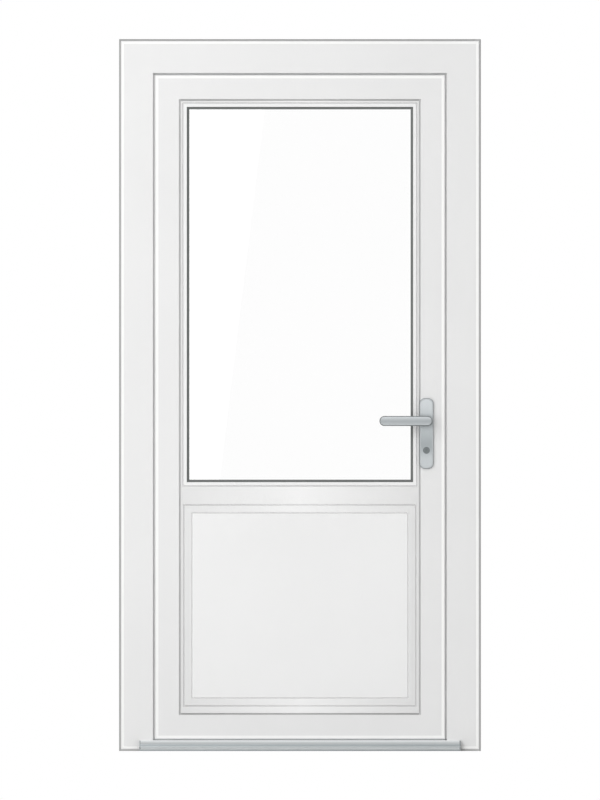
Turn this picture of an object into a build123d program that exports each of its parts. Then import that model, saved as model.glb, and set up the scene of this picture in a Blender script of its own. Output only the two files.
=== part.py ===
"""A half-glazed inward-opening PVC door in its frame, seen with its outer face to -Y.

Millimetres. X runs along the door's width, Y from outside to inside, Z up. The origin is on the
underside of the threshold, at mid width, in the plane of the frame's outer face. Every profile is
drawn once as a section (u inward from its outer edge, y through the wall) and run along its member.
"""
import math
import os

from build123d import *

os.makedirs("parts", exist_ok=True)

# Overall frame
FRAME_HALF = 547.0          # half the frame's width
FRAME_TOP = 2152.7
FRAME_DEPTH = 62.0
FRAME_FACE = 102.7          # width of the frame seen from outside
LIP_WIDTH = 31.7            # part of that width which is the stop lip
LIP_THICK = 10.0
ARRIS_WIDE = 5.4            # arris round the outside of the frame
ARRIS_DEEP = 5.0
SOFT = 1.2                  # small rounding of profile edges
CRISP = 0.6                 # smallest rounding
WALL = 3.0                  # profile wall
INNER_WALL = 2.0            # webs between chambers
OUTER_CHAMBER = 10.0        # depth of the chambers behind the outer face
SIDE_CHAMBER = 13.0         # width of the chambers beside the reinforcement

# Leaf
LEAF_GAP = 5.8              # gap between the frame lip and the leaf, seen from outside
LEAF_BOTTOM = 36.2
LEAF_Y0 = 5.0               # outer face of the leaf behind the outer face of the frame
LEAF_DEPTH = 71.0
LEAF_ARRIS = 1.6
LEAF_FACE = 75.6            # outer face of stile or rail up to the middle of the step
STEP_DEPTH = 4.0            # recess of the margin and mid rail behind the face
STEP_HALF = 2.7             # half the width of the shadow groove at the step
STEP_GROOVE = 5.0           # its depth below the recess
MARGIN = 6.3                # from the middle of the step to the rebate
REBATE_LIP = 17.0           # height of the rebate's inner upstand
REBATE_BACK = 22.0          # from the rebate to the leaf's inner face
UPSTAND_SLOPE = 8.0         # run of the upstand's sloping side
UPSTAND_TIP = 6.0
SHOULDER = 25.5             # leaf shoulder behind the frame lip
SHOULDER_GAP = 6.0
FLANGE = 45.5               # inner flange of the leaf, covering the frame
FLANGE_THICK = 8.0
BOTTOM_BAND = 18.5          # recessed band between the bottom rail's step and the panel

# Glazing and panel
MID_RAIL_BOTTOM = 749.7
MID_RAIL_TALL = 48.8
BEAD_WIDTH = 14.6
BEAD_PROUD = 0.8
BEAD_GROOVE = 2.8           # half the width of the V along the bead
BEAD_GROOVE_DEEP = 4.0
BEAD_WALL = 1.7
GASKET_SEEN = 7.5
GASKET_THICK = 4.0
GASKET_STEP = 2.2
GASKET_GRIP = 7.0
GLASS_BACK = 2.0            # inner gasket
GLASS_THICK = 4.0
UNIT_THICK = 28.0
GLASS_CLEAR = 5.0           # from the rebate to the edge of the glass
SPACER_IN = 1.0
SPACER_WIDE = 8.0
PANEL_RIM = 5.8             # from the panel's edge to the middle of its groove
PANEL_BAND = 24.2           # from groove to groove
PANEL_GROOVE = 2.8          # half the groove's width
PANEL_GROOVE_DEEP = 4.0
FIELD_GROOVE_DEEP = 3.2
FIELD_PROUD = 0.8

# Threshold
SILL_HEIGHT = 31.4
SILL_HORN = 41.1            # reach of the nose in front of each jamb
SILL_NOSE = 32.0
SILL_STOP = 17.0            # depth of the high part behind the frame's outer face
SILL_DECK = 22.0
SILL_WALL = 2.6
SILL_TOP_IN = 17.0          # top edge behind the nose
SILL_WAIST_IN = 8.5         # upright middle face behind the nose
SILL_WAIST = (11.5, 20.5)   # its lower and upper ends
SILL_FOOT = 5.0             # upright foot of the nose

# Seals
SEAL_IN = 20.0
SEAL_WIDE = 8.0
SEAL_FREE = 0.8             # clearance of a seal to what it closes on
SWEEP_IN = 4.0              # bottom seal behind the leaf's outer face

# Hinges
HINGE_SIDE = 14.0           # from the leaf's flange to the pin
HINGE_R = 8.0
PIN_R = 5.0
RUN_CLEAR = 0.05
HINGE_LOW = 230.0
HINGE_HIGH = 270.0          # below the frame's top
HINGE_NAMES = ("bottom", "middle", "top")
HINGE_TALL = 110.0
HINGE_PLATE = 4.5
HINGE_WEB = 6.0
HINGE_CORNER = 8.0
KNUCKLE_GAP = 0.5
PIN_SHORT = 4.0

# Handle and lock
PLATE_IN = 56.2             # from the leaf's edge to the middle of the plate
PLATE_Z = 960.2
PLATE_W, PLATE_H, PLATE_T = 43.0, 213.6, 9.0
PLATE_R = 16.5
PLATE_BEVEL = 2.2
LEVER_UP = 37.7             # lever above the plate's middle
LEVER_H = 30.2
LEVER_LONG = 160.0
LEVER_BUTT = 18.1           # lever beyond the spindle
LEVER_STAND = 34.0          # clear gap between the plate and the lever
LEVER_T = 13.0
LEVER_BEVEL = 2.5
LEVER_BACK_R = 1.5
NECK_R = 9.0
NECK_CLEAR = 0.6
SPINDLE = 8.0
CYL_DOWN = 88.7             # cylinder below the lever
CYL_R = 10.3
CYL_PROUD = 1.5
CYL_BEVEL = 0.8
KEY_WIDE, KEY_TALL, KEY_DEEP = 2.2, 8.4, 6.0
FACE_T, FACE_W, FACE_H = 2.5, 20.0, 280.0
STRIKE_W, STRIKE_H, STRIKE_R = 24.0, 240.0, 4.0
BOLT_DEEP, BOLT_T, BOLT_PROUD = 20.0, 12.0, 0.4
LATCH_LOW, LATCH_TALL = 22.0, 32.0
BOLT_LOW, BOLT_TALL = -72.0, 36.0
STRIKE_EASE = 2.0

# Fixing holes through the jambs
FIX_R = 5.25
FIX_END = 250.0             # outer holes from the frame's ends

FRAME_SIGHT = FRAME_HALF - FRAME_FACE
BODY_W = FRAME_FACE - LIP_WIDTH
LEAF_HALF = FRAME_SIGHT - LEAF_GAP
LEAF_TOP = FRAME_TOP - FRAME_FACE - LEAF_GAP
LEAF_Y1 = LEAF_Y0 + LEAF_DEPTH
MARGIN_Y = LEAF_Y0 + STEP_DEPTH
REBATE_Y = LEAF_Y1 - REBATE_BACK
SHOULDER_Y = LIP_THICK + SHOULDER_GAP
FLANGE_Y = LEAF_Y1 - FLANGE_THICK
REBATE_U = LEAF_FACE + MARGIN
REBATE_HALF = LEAF_HALF - REBATE_U
REBATE_TOP = LEAF_TOP - REBATE_U
GLASS_Y = REBATE_Y - GLASS_BACK - UNIT_THICK
MID_RAIL_TOP = MID_RAIL_BOTTOM + MID_RAIL_TALL
BOTTOM_U = LEAF_FACE + BOTTOM_BAND
PANEL_BOTTOM = LEAF_BOTTOM + BOTTOM_U
SILL_HALF = FRAME_SIGHT + SILL_HORN
HINGE_X = -(LEAF_HALF + FLANGE + HINGE_SIDE)
HINGE_Y = LEAF_Y1 + HINGE_R
PLATE_X = LEAF_HALF - PLATE_IN
LEVER_Z = PLATE_Z + LEVER_UP
CYL_Z = LEVER_Z - CYL_DOWN
LOCK_Y = (SHOULDER_Y + FLANGE_Y) / 2
EDGE_X = LEAF_HALF + SHOULDER
STRIKE_X = FRAME_HALF - BODY_W
FIX_Y = (LIP_THICK + FRAME_DEPTH) / 2
FAR = 2 * FRAME_TOP         # longer than anything, for cuts
DEEP = 3 * FRAME_DEPTH      # deeper than anything, for cuts


def outline(points):
    """Closed face from corners (x, y) or (x, y, r), each r a rounded corner."""
    n = len(points)
    cut = []
    for i, p in enumerate(points):
        a, c = points[i - 1], points[(i + 1) % n]
        r = p[2] if len(p) > 2 else 0
        b = Vector(p[0], p[1])
        if not r:
            cut.append((b, None, b))
            continue
        ua = (Vector(a[0], a[1]) - b).normalized()
        uc = (Vector(c[0], c[1]) - b).normalized()
        half = math.acos(max(-1, min(1, ua.dot(uc)))) / 2
        t = r / math.tan(half)
        mid = b + (ua + uc).normalized() * (r / math.sin(half) - r)
        cut.append((b + ua * t, mid, b + uc * t))
    edges = []
    for i in range(n):
        start, mid, end = cut[i]
        if mid is not None:
            edges.append(ThreePointArc(start, mid, end))
        nxt = cut[(i + 1) % n][0]
        if (nxt - end).length > 1e-6:
            edges.append(Line(end, nxt))
    return make_face(edges)


def rect(x0, y0, x1, y1):
    return outline([(x0, y0), (x1, y0), (x1, y1), (x0, y1)])


def run(face, origin, inward, along, length):
    """Run a (u, y) section along a member: u goes inward, y stays the world's Y."""
    inward, along = Vector(*inward), Vector(*along)
    normal = inward.cross(Vector(0, 1, 0))
    plane = Plane(origin=origin, x_dir=inward, z_dir=normal)
    return extrude(plane * face, amount=length * normal.dot(along))


def slab_xz(points):
    """Prism of an XZ outline right through the door's depth."""
    plane = Plane(origin=(0, -DEEP, 0), x_dir=(1, 0, 0), z_dir=(0, -1, 0))
    return extrude(plane * outline(points), amount=-2 * DEEP)


def box(x0, x1, y0, y1, z0, z1):
    return Pos((x0 + x1) / 2, (y0 + y1) / 2, (z0 + z1) / 2) * Box(x1 - x0, y1 - y0, z1 - z0)


def rod(centre, r, length, axis):
    """Cylinder about its centre point along X, Y or Z."""
    turn = {"X": Rot(0, 90, 0), "Y": Rot(-90, 0, 0), "Z": Rot(0, 0, 0)}[axis]
    return Pos(*centre) * turn * Cylinder(r, length)


def mirrored(shape):
    return mirror(shape, Plane.YZ)


def above(z):
    """Everything from a height up."""
    return box(-FAR, FAR, -DEEP, DEEP, z, FAR)


def mitred_ring(face, half, bottom, top):
    """Left, top, right and bottom members of one section, mitred at 45 degrees."""
    b = FRAME_FACE
    w = min(half, (top - bottom) / 2) * 0.9
    a = half + b
    left = run(face, (-half, 0, bottom - b), (1, 0, 0), (0, 0, 1), top - bottom + 2 * b)
    left &= slab_xz([(-a, bottom - b), (-half + w, bottom + w), (-half + w, top - w), (-a, top + b)])
    upper = run(face, (-a, 0, top), (0, 0, -1), (1, 0, 0), 2 * a)
    upper &= slab_xz([(-a, top + b), (-half + w, top - w), (half - w, top - w), (a, top + b)])
    lower = run(face, (-a, 0, bottom), (0, 0, 1), (1, 0, 0), 2 * a)
    lower &= slab_xz([(-a, bottom - b), (a, bottom - b), (half - w, bottom + w),
                      (-half + w, bottom + w)])
    return left, upper, mirrored(left), lower


def whole(parts):
    body = parts[0]
    for p in parts[1:]:
        body += p
    return body


# Frame profile: hollow body and stop lip, with an outer, two middle and an inner chamber
frame_outline = outline([
    (0, ARRIS_DEEP, SOFT), (ARRIS_WIDE, 0, SOFT), (FRAME_FACE, 0, SOFT), (FRAME_FACE, LIP_THICK, SOFT),
    (BODY_W, LIP_THICK, SOFT), (BODY_W, FRAME_DEPTH, SOFT), (0, FRAME_DEPTH, SOFT)])
MIDDLE_Y0 = WALL + OUTER_CHAMBER + INNER_WALL
MIDDLE_Y1 = FRAME_DEPTH - MIDDLE_Y0
frame_section = frame_outline
for chamber in (
    (ARRIS_WIDE + WALL, WALL, BODY_W - INNER_WALL, MIDDLE_Y0 - INNER_WALL),
    (BODY_W, WALL, FRAME_FACE - WALL, LIP_THICK - WALL),
    (WALL, MIDDLE_Y0, WALL + SIDE_CHAMBER, MIDDLE_Y1),
    (WALL + SIDE_CHAMBER + INNER_WALL, MIDDLE_Y0, BODY_W - WALL, MIDDLE_Y1),
    (WALL, MIDDLE_Y1 + INNER_WALL, BODY_W - WALL, FRAME_DEPTH - WALL),
):
    frame_section -= rect(*chamber)


def leaf_corners(rebate_u):
    """Outer face, step with its shadow groove, margin, glazing rebate and inner upstand."""
    return [
        (LEAF_FACE - STEP_HALF, LEAF_Y0, CRISP), (LEAF_FACE - STEP_HALF, MARGIN_Y + STEP_GROOVE),
        (LEAF_FACE + STEP_HALF, MARGIN_Y + STEP_GROOVE), (LEAF_FACE + STEP_HALF, MARGIN_Y, CRISP),
        (rebate_u, MARGIN_Y), (rebate_u, REBATE_Y)]


def upstand(tip_u, way):
    """Inner upstand whose tip lies at tip_u and whose sloping side falls back from it."""
    return [(tip_u, REBATE_Y, CRISP), (tip_u, REBATE_Y + UPSTAND_TIP, SOFT),
            (tip_u - way * UPSTAND_SLOPE, LEAF_Y1, SOFT)]


def leaf_chambers(rebate_u, left):
    """Chambers from the shoulder or edge at left to the rebate."""
    y0 = MARGIN_Y + STEP_GROOVE + WALL
    y1 = y0 + OUTER_CHAMBER
    return (
        (LEAF_ARRIS + WALL, LEAF_Y0 + WALL, LEAF_FACE - STEP_HALF - WALL, y0 - INNER_WALL),
        (max(left, LEAF_ARRIS + WALL - SHOULDER), SHOULDER_Y + WALL, WALL + SIDE_CHAMBER, REBATE_Y),
        (WALL + SIDE_CHAMBER + INNER_WALL, y0, rebate_u - WALL, y1),
        (WALL + SIDE_CHAMBER + INNER_WALL, y1 + INNER_WALL, rebate_u - WALL - SIDE_CHAMBER, REBATE_Y),
        (rebate_u - WALL - SIDE_CHAMBER + INNER_WALL, y1 + INNER_WALL, rebate_u - WALL, REBATE_Y),
        (left, REBATE_Y + WALL, rebate_u + INNER_WALL, LEAF_Y1 - WALL))


leaf_outline = outline(
    [(0, LEAF_Y0 + LEAF_ARRIS, CRISP), (LEAF_ARRIS, LEAF_Y0, CRISP)] + leaf_corners(REBATE_U) +
    upstand(REBATE_U + REBATE_LIP, 1) +
    [(-FLANGE, LEAF_Y1, SOFT), (-FLANGE, FLANGE_Y, SOFT), (-SHOULDER, FLANGE_Y),
     (-SHOULDER, SHOULDER_Y, SOFT), (0, SHOULDER_Y)])
leaf_section = leaf_outline
for chamber in leaf_chambers(REBATE_U, WALL - SHOULDER):
    leaf_section -= rect(*chamber)

bottom_section = outline(
    [(0, LEAF_Y0 + LEAF_ARRIS, CRISP), (LEAF_ARRIS, LEAF_Y0, CRISP)] + leaf_corners(BOTTOM_U) +
    upstand(BOTTOM_U + REBATE_LIP, 1) + [(0, LEAF_Y1, SOFT)])
for chamber in leaf_chambers(BOTTOM_U, WALL):
    bottom_section -= rect(*chamber)

# Frame
left_jamb, head, _, _ = mitred_ring(frame_section, FRAME_HALF, -FRAME_TOP, FRAME_TOP)
left_jamb &= above(0)
fix_spacing = FRAME_TOP - 2 * FIX_END
for spacing in (fix_spacing, fix_spacing / 3):
    for z in (FRAME_TOP / 2 - spacing / 2, FRAME_TOP / 2 + spacing / 2):
        left_jamb -= rod((-FRAME_HALF, FIX_Y, z), FIX_R, 2 * FRAME_FACE, "X")
right_jamb = mirrored(left_jamb)
jamb_solid = run(frame_outline, (-FRAME_HALF, 0, -SILL_HEIGHT), (1, 0, 0), (0, 0, 1), 3 * SILL_HEIGHT)

# Threshold: extruded along X in a YZ section, notched round the jambs
sill_face = outline([
    (-SILL_NOSE, 0), (-SILL_NOSE, SILL_FOOT, SOFT), (SILL_WAIST_IN - SILL_NOSE, SILL_WAIST[0], SOFT),
    (SILL_WAIST_IN - SILL_NOSE, SILL_WAIST[1], SOFT), (SILL_TOP_IN - SILL_NOSE, SILL_HEIGHT, SOFT),
    (SILL_STOP, SILL_HEIGHT, SOFT),
    (SILL_STOP, SILL_DECK), (FRAME_DEPTH, SILL_DECK, SOFT), (FRAME_DEPTH, 0)])
NOSE_IN = SILL_WAIST_IN - SILL_NOSE + 2 * SILL_WALL
DECK_MID = (SILL_STOP + FRAME_DEPTH) / 2
for chamber in (
    (NOSE_IN, SILL_WALL, -SILL_WALL, SILL_WAIST[1]),
    (0, SILL_WALL, SILL_STOP - SILL_WALL, SILL_HEIGHT - SILL_WALL),
    (SILL_STOP, SILL_WALL, DECK_MID, SILL_DECK - SILL_WALL),
    (DECK_MID + SILL_WALL, SILL_WALL, FRAME_DEPTH - SILL_WALL, SILL_DECK - SILL_WALL),
):
    sill_face -= rect(*chamber)
threshold = extrude(Plane.YZ * sill_face, amount=SILL_HALF, both=True)
threshold -= jamb_solid
threshold -= mirrored(jamb_solid)

# Frame seals on the back of the lip, one along each side
SEAL_U = FRAME_FACE - SEAL_IN
SEAL_TIP = SHOULDER_Y - SEAL_FREE
seal_face = outline([
    (SEAL_U, LIP_THICK), (SEAL_U + SEAL_WIDE, LIP_THICK), (SEAL_U + SEAL_WIDE - SEAL_FREE, SEAL_TIP, SOFT),
    (SEAL_U + SEAL_FREE, SEAL_TIP, SOFT)])
left_seal, head_seal, _, _ = mitred_ring(seal_face, FRAME_HALF, -FRAME_TOP, FRAME_TOP)
left_seal &= above(SILL_HEIGHT + SEAL_FREE)

# Leaf frame: stiles run to the bottom edge, rails meet them on 45 degree mitres
left_stile, top_rail, _, _ = mitred_ring(leaf_section, LEAF_HALF, -LEAF_TOP, LEAF_TOP)
left_solid = run(leaf_outline, (-LEAF_HALF, 0, LEAF_BOTTOM), (1, 0, 0), (0, 0, 1), LEAF_TOP)
foot = slab_xz([(-FAR, LEAF_BOTTOM), (-LEAF_HALF, LEAF_BOTTOM),
                (-LEAF_HALF + FRAME_HALF / 2, LEAF_BOTTOM + FRAME_HALF / 2),
                (-LEAF_HALF + FRAME_HALF / 2, FAR), (-FAR, FAR)])
left_stile &= foot
left_solid &= foot
bottom_rail = run(bottom_section, (-LEAF_HALF, 0, LEAF_BOTTOM), (0, 0, 1), (1, 0, 0), 2 * LEAF_HALF)
bottom_rail &= slab_xz([
    (-LEAF_HALF, LEAF_BOTTOM), (LEAF_HALF, LEAF_BOTTOM), (REBATE_HALF, LEAF_BOTTOM + REBATE_U),
    (REBATE_HALF, FAR), (-REBATE_HALF, FAR), (-REBATE_HALF, LEAF_BOTTOM + REBATE_U)])
bottom_rail -= left_solid
bottom_rail -= mirrored(left_solid)

mid_section = outline(
    [(0, MARGIN_Y), (MID_RAIL_TALL, MARGIN_Y), (MID_RAIL_TALL, REBATE_Y)] +
    upstand(MID_RAIL_TALL + REBATE_LIP, 1) + upstand(-REBATE_LIP, -1)[::-1] + [(0, REBATE_Y)])
MID_Y = (MARGIN_Y + REBATE_Y) / 2
for chamber in ((WALL, MARGIN_Y + WALL, MID_RAIL_TALL - WALL, MID_Y - INNER_WALL),
                (WALL, MID_Y, MID_RAIL_TALL - WALL, REBATE_Y),
                (-INNER_WALL, REBATE_Y + WALL, MID_RAIL_TALL + INNER_WALL, LEAF_Y1 - WALL)):
    mid_section -= rect(*chamber)
mid_rail = run(mid_section, (-REBATE_HALF, 0, MID_RAIL_BOTTOM), (0, 0, 1), (1, 0, 0), 2 * REBATE_HALF)
mid_rail -= left_solid
mid_rail -= mirrored(left_solid)

# Glazing: snap-in beads outside, each with a V along its joint and a hollow back
BEAD_Y0, BEAD_Y1 = MARGIN_Y - BEAD_PROUD, GLASS_Y - GASKET_THICK
bead_face = outline([
    (0, MARGIN_Y), (BEAD_GROOVE, MARGIN_Y + BEAD_GROOVE_DEEP), (2 * BEAD_GROOVE, BEAD_Y0, CRISP),
    (BEAD_WIDTH, BEAD_Y0, SOFT), (BEAD_WIDTH, BEAD_Y1), (0, BEAD_Y1)])
bead_face -= rect(BEAD_WALL, MARGIN_Y + BEAD_GROOVE_DEEP + BEAD_WALL, BEAD_WIDTH - BEAD_WALL,
                  BEAD_Y1 - BEAD_WALL)
bead_left, bead_top, bead_right, bead_bottom = mitred_ring(
    bead_face, REBATE_HALF, MID_RAIL_TOP, REBATE_TOP)

gasket_face = outline([
    (BEAD_WIDTH - GASKET_GRIP, BEAD_Y1), (BEAD_WIDTH, BEAD_Y1), (BEAD_WIDTH, BEAD_Y1 - GASKET_STEP),
    (BEAD_WIDTH + GASKET_SEEN, BEAD_Y1 - GASKET_STEP, CRISP), (BEAD_WIDTH + GASKET_SEEN, GLASS_Y),
    (BEAD_WIDTH - GASKET_GRIP, GLASS_Y)])
gasket_outer = whole(mitred_ring(gasket_face, REBATE_HALF, MID_RAIL_TOP, REBATE_TOP))
gasket_in_face = rect(REBATE_LIP - SPACER_WIDE, REBATE_Y - GLASS_BACK, REBATE_LIP + SPACER_IN, REBATE_Y)
gasket_inner = whole(mitred_ring(gasket_in_face, REBATE_HALF, MID_RAIL_TOP, REBATE_TOP))
spacer_face = rect(GLASS_CLEAR + SPACER_IN, GLASS_Y + GLASS_THICK,
                   GLASS_CLEAR + SPACER_IN + SPACER_WIDE, GLASS_Y + UNIT_THICK - GLASS_THICK)
spacer = whole(mitred_ring(spacer_face, REBATE_HALF, MID_RAIL_TOP, REBATE_TOP))
glass_half = REBATE_HALF - GLASS_CLEAR
pane_outer = box(-glass_half, glass_half, GLASS_Y, GLASS_Y + GLASS_THICK,
                 MID_RAIL_TOP + GLASS_CLEAR, REBATE_TOP - GLASS_CLEAR)
pane_inner = Pos(0, UNIT_THICK - GLASS_THICK, 0) * pane_outer

# Lower panel: a board with two V grooves, a slightly raised band between them and a flat field
panel = box(-REBATE_HALF, REBATE_HALF, MARGIN_Y - FIELD_PROUD, REBATE_Y, PANEL_BOTTOM, MID_RAIL_BOTTOM)
FIELD_U = PANEL_RIM + PANEL_BAND
relief = outline([
    (-SOFT, MARGIN_Y - FIELD_PROUD - SOFT), (-SOFT, MARGIN_Y), (PANEL_RIM - PANEL_GROOVE, MARGIN_Y),
    (PANEL_RIM, MARGIN_Y + PANEL_GROOVE_DEEP), (PANEL_RIM + PANEL_GROOVE, MARGIN_Y),
    (FIELD_U - PANEL_GROOVE, MARGIN_Y - FIELD_PROUD / 2), (FIELD_U, MARGIN_Y + FIELD_GROOVE_DEEP),
    (FIELD_U + PANEL_GROOVE, MARGIN_Y - FIELD_PROUD - SOFT)])
panel -= whole(mitred_ring(relief, REBATE_HALF, PANEL_BOTTOM, MID_RAIL_BOTTOM))

# Bottom seal of the leaf
SWEEP_TIP = SILL_HEIGHT + SEAL_FREE
SWEEP_Y = LEAF_Y0 + SWEEP_IN
bottom_seal = extrude(Plane.YZ * outline([
    (SWEEP_Y, LEAF_BOTTOM), (SWEEP_Y + SEAL_FREE, SWEEP_TIP, SOFT),
    (SWEEP_Y + SEAL_WIDE - SEAL_FREE, SWEEP_TIP, SOFT), (SWEEP_Y + SEAL_WIDE, LEAF_BOTTOM)]),
    amount=LEAF_HALF, both=True)
bottom_seal += box(-EDGE_X + WALL, EDGE_X - WALL, SHOULDER_Y, SHOULDER_Y + SEAL_WIDE, SWEEP_TIP, LEAF_BOTTOM)


def hinge(z):
    """Frame half with its pin and lower knuckle, and the leaf half that drops over the pin."""
    lo, hi = z - HINGE_TALL / 2, z + HINGE_TALL / 2
    low_top, high_foot, pin_top = z - KNUCKLE_GAP, z + KNUCKLE_GAP, hi - PIN_SHORT
    on_frame = box(-FRAME_HALF + HINGE_CORNER / 2, HINGE_X - HINGE_R, FRAME_DEPTH,
                   FRAME_DEPTH + HINGE_PLATE, lo, hi)
    on_frame = fillet(on_frame.edges().filter_by(Axis.Y).group_by(Axis.X)[0], HINGE_CORNER)
    on_frame += box(HINGE_X - HINGE_R, HINGE_X - HINGE_R + HINGE_WEB, FRAME_DEPTH, HINGE_Y, lo, low_top)
    on_frame += rod((HINGE_X, HINGE_Y, (lo + low_top) / 2), HINGE_R, low_top - lo, "Z")
    on_frame += rod((HINGE_X, HINGE_Y, (lo + pin_top) / 2), PIN_R, pin_top - lo, "Z")
    edge = -LEAF_HALF - FLANGE
    on_leaf = box(edge + WALL, -LEAF_HALF, LEAF_Y1, LEAF_Y1 + HINGE_PLATE, lo, hi)
    on_leaf = fillet(on_leaf.edges().filter_by(Axis.Y).group_by(Axis.X)[-1], HINGE_CORNER)
    on_leaf += box(HINGE_X, edge + 2 * WALL, LEAF_Y1, HINGE_Y, high_foot, hi)
    on_leaf += rod((HINGE_X, HINGE_Y, (high_foot + hi) / 2), HINGE_R, hi - high_foot, "Z")
    on_leaf -= rod((HINGE_X, HINGE_Y, (z + pin_top) / 2), PIN_R + RUN_CLEAR, pin_top - z + 2 * KNUCKLE_GAP,
                   "Z")
    return on_frame, on_leaf


# Lock: faceplate, latch and bolt on the leaf's edge, strike plate on the jamb
def edge_plate(x, way, width, height, radius):
    plane = Plane(origin=(x, LOCK_Y, PLATE_Z), x_dir=(0, 1, 0), z_dir=(way, 0, 0))
    return extrude(plane * RectangleRounded(width, height, radius), amount=FACE_T)


def bolt_block(low, tall, x0, x1, ease=0.0):
    return box(x0, x1, LOCK_Y - BOLT_T / 2 - ease, LOCK_Y + BOLT_T / 2 + ease,
               PLATE_Z + low - ease, PLATE_Z + low + tall + ease)


faceplate = edge_plate(EDGE_X, 1, FACE_W, FACE_H, FACE_W / 2.02)
strike = edge_plate(STRIKE_X, -1, STRIKE_W, STRIKE_H, STRIKE_R)
right_stile = mirrored(left_stile)
bolts = []
for low, tall in ((LATCH_LOW, LATCH_TALL), (BOLT_LOW, BOLT_TALL)):
    block = bolt_block(low, tall, EDGE_X - BOLT_DEEP, EDGE_X + FACE_T + BOLT_PROUD)
    bolts.append(block)
    faceplate -= block
    right_stile -= block
    strike -= bolt_block(low, tall, STRIKE_X - BOLT_DEEP, STRIKE_X + BOLT_DEEP, STRIKE_EASE)
latch, bolt = bolts
right_stile -= rod((PLATE_X, LOCK_Y, LEVER_Z), NECK_R + NECK_CLEAR, DEEP, "Y")
right_stile -= rod((PLATE_X, LOCK_Y, CYL_Z), CYL_R, DEEP, "Y")


# Handle plates and levers, the same outside (-1) and inside (1)
def on_face(y, outward, x, z):
    return Plane(origin=(x, y, z), x_dir=(-outward, 0, 0), z_dir=(0, outward, 0))


def long_pill(width, height):
    """Rounded bar outline with full-round ends, less a hair of flat."""
    return RectangleRounded(width, height, min(width, height) / 2.02)


def front_face(body, outward):
    return body.faces().sort_by(Axis.Y)[0 if outward < 0 else -1]


def plate_at(y, outward):
    body = extrude(on_face(y, outward, PLATE_X, PLATE_Z) * RectangleRounded(PLATE_W, PLATE_H, PLATE_R),
                   amount=PLATE_T)
    body = chamfer(front_face(body, outward).edges(), PLATE_BEVEL)
    body -= rod((PLATE_X, y, LEVER_Z), NECK_R + RUN_CLEAR, 3 * PLATE_T, "Y")
    body -= rod((PLATE_X, y, CYL_Z), CYL_R, 3 * PLATE_T, "Y")
    return body


def lever_at(face_y, outward):
    """Bar pointing to -X with a bevelled front, on a round neck that turns in the plate."""
    near = face_y + outward * LEVER_STAND
    mid_x = PLATE_X + LEVER_BUTT - LEVER_LONG / 2
    bar = extrude(on_face(near, outward, mid_x, LEVER_Z) * long_pill(LEVER_LONG, LEVER_H), amount=LEVER_T)
    bar = chamfer(front_face(bar, outward).edges(), LEVER_BEVEL)
    bar = fillet(front_face(bar, -outward).edges(), LEVER_BACK_R)
    y0, y1 = face_y - outward * PLATE_T, near + outward * LEVER_BACK_R
    bar += rod((PLATE_X, (y0 + y1) / 2, LEVER_Z), NECK_R, abs(y1 - y0), "Y")
    return bar


OUT_FACE, IN_FACE = LEAF_Y0 - PLATE_T, LEAF_Y1 + PLATE_T
plate_out, plate_in = plate_at(LEAF_Y0, -1), plate_at(LEAF_Y1, 1)
lever_out, lever_in = lever_at(OUT_FACE, -1), lever_at(IN_FACE, 1)
spindle = box(PLATE_X - SPINDLE / 2, PLATE_X + SPINDLE / 2, LEAF_Y0, LEAF_Y1,
              LEVER_Z - SPINDLE / 2, LEVER_Z + SPINDLE / 2)
cylinder = rod((PLATE_X, (LEAF_Y0 + LEAF_Y1) / 2, CYL_Z), CYL_R, IN_FACE - OUT_FACE + 2 * CYL_PROUD, "Y")
cylinder = chamfer(cylinder.edges(), CYL_BEVEL)
for y in (OUT_FACE - CYL_PROUD, IN_FACE + CYL_PROUD):
    cylinder -= box(PLATE_X - KEY_WIDE / 2, PLATE_X + KEY_WIDE / 2, y - KEY_DEEP, y + KEY_DEEP,
                    CYL_Z - KEY_TALL / 2, CYL_Z + KEY_TALL / 2)

nodes = {
    "frame_jamb_hinge_side": left_jamb,
    "frame_jamb_lock_side": right_jamb,
    "frame_head": head,
    "threshold": threshold,
    "frame_seal_hinge_side": left_seal,
    "frame_seal_lock_side": mirrored(left_seal),
    "frame_seal_head": head_seal,
    "strike_plate": strike,
    "leaf_stile_hinge_side": left_stile,
    "leaf_stile_lock_side": right_stile,
    "leaf_top_rail": top_rail,
    "leaf_mid_rail": mid_rail,
    "leaf_bottom_rail": bottom_rail,
    "leaf_bottom_seal": bottom_seal,
    "glazing_bead_left": bead_left,
    "glazing_bead_right": bead_right,
    "glazing_bead_top": bead_top,
    "glazing_bead_bottom": bead_bottom,
    "glazing_gasket_outside": gasket_outer,
    "glazing_gasket_inside": gasket_inner,
    "glazing_spacer": spacer,
    "glass_pane_outside": pane_outer,
    "glass_pane_inside": pane_inner,
    "lower_panel": panel,
    "lock_faceplate": faceplate,
    "latch_bolt": latch,
    "dead_bolt": bolt,
    "lock_cylinder": cylinder,
    "handle_plate_outside": plate_out,
    "handle_plate_inside": plate_in,
    "lever_outside": lever_out,
    "lever_inside": lever_in,
    "handle_spindle": spindle,
}
for name, z in zip(HINGE_NAMES, (HINGE_LOW, FRAME_TOP / 2, FRAME_TOP - HINGE_HIGH)):
    on_frame, on_leaf = hinge(z)
    nodes[f"hinge_{name}_frame_half"] = on_frame
    nodes[f"hinge_{name}_leaf_half"] = on_leaf

for name, shape in nodes.items():
    solids = shape.solids()
    print(name, len(solids), round(shape.volume / 1e6, 4))
    export_step(solids[0] if len(solids) == 1 else shape, f"parts/{name}.step")
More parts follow.
